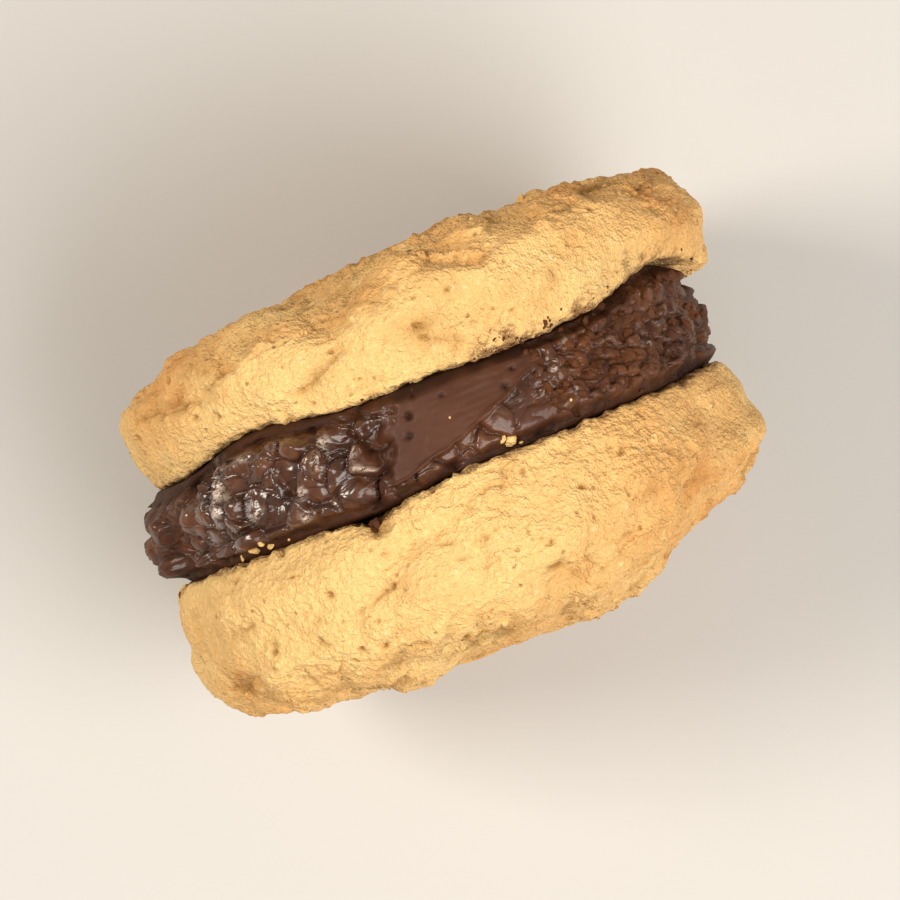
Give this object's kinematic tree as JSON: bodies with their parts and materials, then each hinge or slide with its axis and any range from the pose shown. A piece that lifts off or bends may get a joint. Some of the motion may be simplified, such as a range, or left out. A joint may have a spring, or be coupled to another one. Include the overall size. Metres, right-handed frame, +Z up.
{
  "type": "cashew sandwich cookie",
  "caption": "Round sandwich cookie of craggy cashew biscuits with a thick, torn layer of dark chocolate between them, standing on its rim.",
  "frame": {"origin": "on the table under the middle of the cookie, which stands on its rim", "axes": "+X across the round biscuits, +Y through the sandwich from the thicker front biscuit to the thinner back one, +Z up"},
  "size_m": [0.0472, 0.0318, 0.0449],
  "materials": {
    "biscuit": "dry, sandy baked crumb, golden and a little browner at the edges",
    "chocolate": "set dark chocolate, glossy in specks where torn and satin where wiped smooth"
  },
  "bodies": {
    "root": {"biscuit_back": "biscuit", "chocolate_filling": "chocolate", "biscuit_front": "biscuit"}
  },
  "joints": []
}
